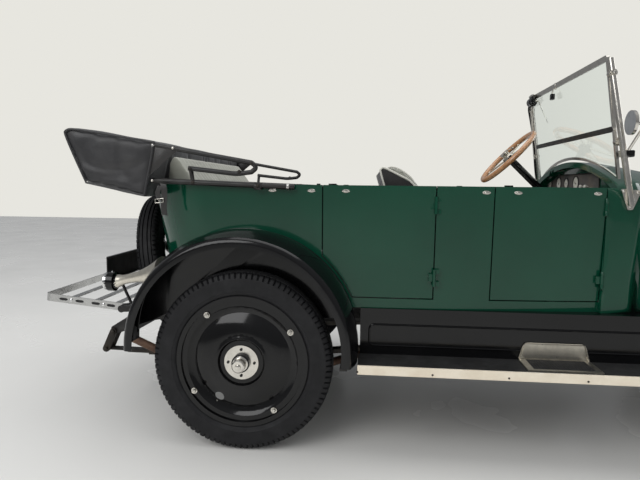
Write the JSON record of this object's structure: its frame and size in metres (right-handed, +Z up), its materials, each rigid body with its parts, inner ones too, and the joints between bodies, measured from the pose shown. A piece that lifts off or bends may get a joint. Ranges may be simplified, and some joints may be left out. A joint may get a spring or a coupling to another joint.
{
  "type": "vintage open touring car with a folded top",
  "caption": "Open four-door 1920s touring car with disc wheels, running boards, folded top, windshield and rear luggage rack.",
  "frame": {"origin": "on the ground below the middle of the whole car, on its centre line", "axes": "+X forward, +Y to the car's left, +Z up"},
  "size_m": [4.195, 1.676, 1.6808],
  "materials": {
    "body_green": "deep gloss bottle green enamel",
    "fender_black": "gloss black enamel",
    "wheel_black": "gloss black enamel",
    "chassis_black": "satin black paint",
    "column_black": "gloss black enamel",
    "seat_panel_black": "satin black paint",
    "spring_steel": "oiled dark steel",
    "engine_iron": "grey cast iron",
    "exhaust_steel": "brown heated steel",
    "bright_nickel": "polished nickel",
    "bright_chrome": "polished chrome",
    "core_brass": "dark painted brass honeycomb",
    "board_rubber": "ribbed black rubber",
    "moulding_aluminium": "satin cream aluminium",
    "step_aluminium": "brushed aluminium",
    "lamp_aluminium": "satin aluminium with a black drum",
    "clear_glass": "clear flat glass",
    "seat_leather": "black pleated leather",
    "top_fabric": "black coated canvas",
    "rim_wood": "varnished tan wood",
    "tyre_rubber": "black tread rubber"
  },
  "bodies": {
    "root": {"chassis_frame": "chassis_black", "leaf_springs": "spring_steel", "rear_axle": "chassis_black", "front_axle": "chassis_black", "steering_column": "column_black", "engine_block": "engine_iron", "gearbox_and_tube": "engine_iron", "exhaust": "exhaust_steel", "fuel_tank": "chassis_black", "body_tub": "body_green", "cowl": "body_green", "radiator_shell": "bright_nickel", "radiator_core": "core_brass", "rear_fenders": "fender_black", "front_fenders": "fender_black", "valances": "fender_black", "running_boards": "board_rubber", "board_mouldings": "moulding_aluminium", "step_plates": "step_aluminium", "windshield_frame": "bright_nickel", "windshield_glass": "clear_glass", "side_mirror": "bright_nickel", "seat_frames": "seat_panel_black", "front_seat": "seat_leather", "rear_seat": "seat_leather", "top_bag": "top_fabric", "top_irons": "column_black", "spare_tyre": "tyre_rubber", "spare_carrier": "chassis_black", "tail_lamps": "lamp_aluminium", "front_lamps": "bright_nickel", "plate_bracket": "chassis_black"},
    "knuckle_left": {"knuckle_left": "chassis_black"},
    "knuckle_right": {"knuckle_right": "chassis_black"},
    "tie_rod": {"tie_rod": "chassis_black"},
    "drag_link": {"drag_link": "chassis_black"},
    "pitman_arm": {"pitman_arm": "chassis_black"},
    "steering_wheel": {"steering_wheel": "rim_wood"},
    "bonnet_left": {"bonnet_left": "body_green"},
    "bonnet_right": {"bonnet_right": "body_green"},
    "luggage_rack": {"luggage_rack": "bright_chrome"},
    "door_rear_left": {"door_rear_left": "body_green"},
    "wheel_rear_left": {"wheel_rear_left": "wheel_black", "tyre_rear_left": "tyre_rubber"},
    "door_front_left": {"door_front_left": "body_green"},
    "wheel_front_left": {"wheel_front_left": "wheel_black", "tyre_front_left": "tyre_rubber"},
    "door_rear_right": {"door_rear_right": "body_green"},
    "wheel_rear_right": {"wheel_rear_right": "wheel_black", "tyre_rear_right": "tyre_rubber"},
    "door_front_right": {"door_front_right": "body_green"},
    "wheel_front_right": {"wheel_front_right": "wheel_black", "tyre_front_right": "tyre_rubber"}
  },
  "joints": [
    {"name": "roll_rear_left", "type": "hinge", "parent": "root", "child": "wheel_rear_left", "pos_m": [-0.99079, 0.711, 0.385], "axis": [0, 1, 0], "continuous": true},
    {"name": "roll_rear_right", "type": "hinge", "parent": "root", "child": "wheel_rear_right", "pos_m": [-0.99079, -0.711, 0.385], "axis": [0, 1, 0], "continuous": true},
    {"name": "steer_left", "type": "hinge", "parent": "root", "child": "knuckle_left", "pos_m": [1.62521, 0.625, 0.385], "axis": [0, 0, 1], "range_deg": [-25, 25]},
    {"name": "steer_right", "type": "hinge", "parent": "root", "child": "knuckle_right", "pos_m": [1.62521, -0.625, 0.385], "axis": [0, 0, 1], "range_deg": [-25, 25]},
    {"name": "roll_front_left", "type": "hinge", "parent": "knuckle_left", "child": "wheel_front_left", "pos_m": [1.62521, 0.711, 0.385], "axis": [0, 1, 0], "continuous": true},
    {"name": "roll_front_right", "type": "hinge", "parent": "knuckle_right", "child": "wheel_front_right", "pos_m": [1.62521, -0.711, 0.385], "axis": [0, 1, 0], "continuous": true},
    {"name": "tie_rod_end", "type": "hinge", "parent": "knuckle_right", "child": "tie_rod", "pos_m": [1.47521, -0.625, 0.319], "axis": [0, 0, 1], "range_deg": [-25, 25]},
    {"name": "drag_link_end", "type": "hinge", "parent": "knuckle_left", "child": "drag_link", "pos_m": [1.62521, 0.455, 0.4533], "axis": [0, 0, 1], "range_deg": [-25, 25]},
    {"name": "pitman_turn", "type": "hinge", "parent": "root", "child": "pitman_arm", "pos_m": [1.05021, 0.421, 0.6233], "axis": [0, 1, 0], "range_deg": [-25, 25]},
    {"name": "steering_wheel_turn", "type": "hinge", "parent": "root", "child": "steering_wheel", "pos_m": [0.3342, 0.345, 1.306], "axis": [-0.7181, 0, 0.6959], "range_deg": [-200, 200]},
    {"name": "door_rear_left_hinge", "type": "hinge", "parent": "root", "child": "door_rear_left", "pos_m": [-0.19179, 0.64775, 0.745], "axis": [0, 0, 1], "range_deg": [-65, 0]},
    {"name": "door_front_left_hinge", "type": "hinge", "parent": "root", "child": "door_front_left", "pos_m": [0.5037, 0.60027, 0.745], "axis": [0, 0, 1], "range_deg": [-65, 0]},
    {"name": "door_rear_right_hinge", "type": "hinge", "parent": "root", "child": "door_rear_right", "pos_m": [-0.19179, -0.64775, 0.745], "axis": [0, 0, 1], "range_deg": [0, 65]},
    {"name": "door_front_right_hinge", "type": "hinge", "parent": "root", "child": "door_front_right", "pos_m": [0.5037, -0.60027, 0.745], "axis": [0, 0, 1], "range_deg": [0, 65]},
    {"name": "bonnet_left_hinge", "type": "hinge", "parent": "root", "child": "bonnet_left", "pos_m": [0.90921, 0, 1.212], "axis": [1, 0, 0], "range_deg": [0, 50]},
    {"name": "bonnet_right_hinge", "type": "hinge", "parent": "root", "child": "bonnet_right", "pos_m": [0.90921, 0, 1.212], "axis": [1, 0, 0], "range_deg": [-50, 0]},
    {"name": "luggage_rack_fold", "type": "hinge", "parent": "root", "child": "luggage_rack", "pos_m": [-1.67779, 0, 0.512], "axis": [0, 1, 0], "range_deg": [0, 70]}
  ],
  "couplings": [
    {"joint": "steer_right", "follows": "steer_left", "ratio": 1},
    {"joint": "tie_rod_end", "follows": "steer_left", "ratio": -1},
    {"joint": "drag_link_end", "follows": "steer_left", "ratio": -1},
    {"joint": "pitman_turn", "follows": "steer_left", "ratio": -1},
    {"joint": "steering_wheel_turn", "follows": "steer_left", "ratio": 8}
  ]
}
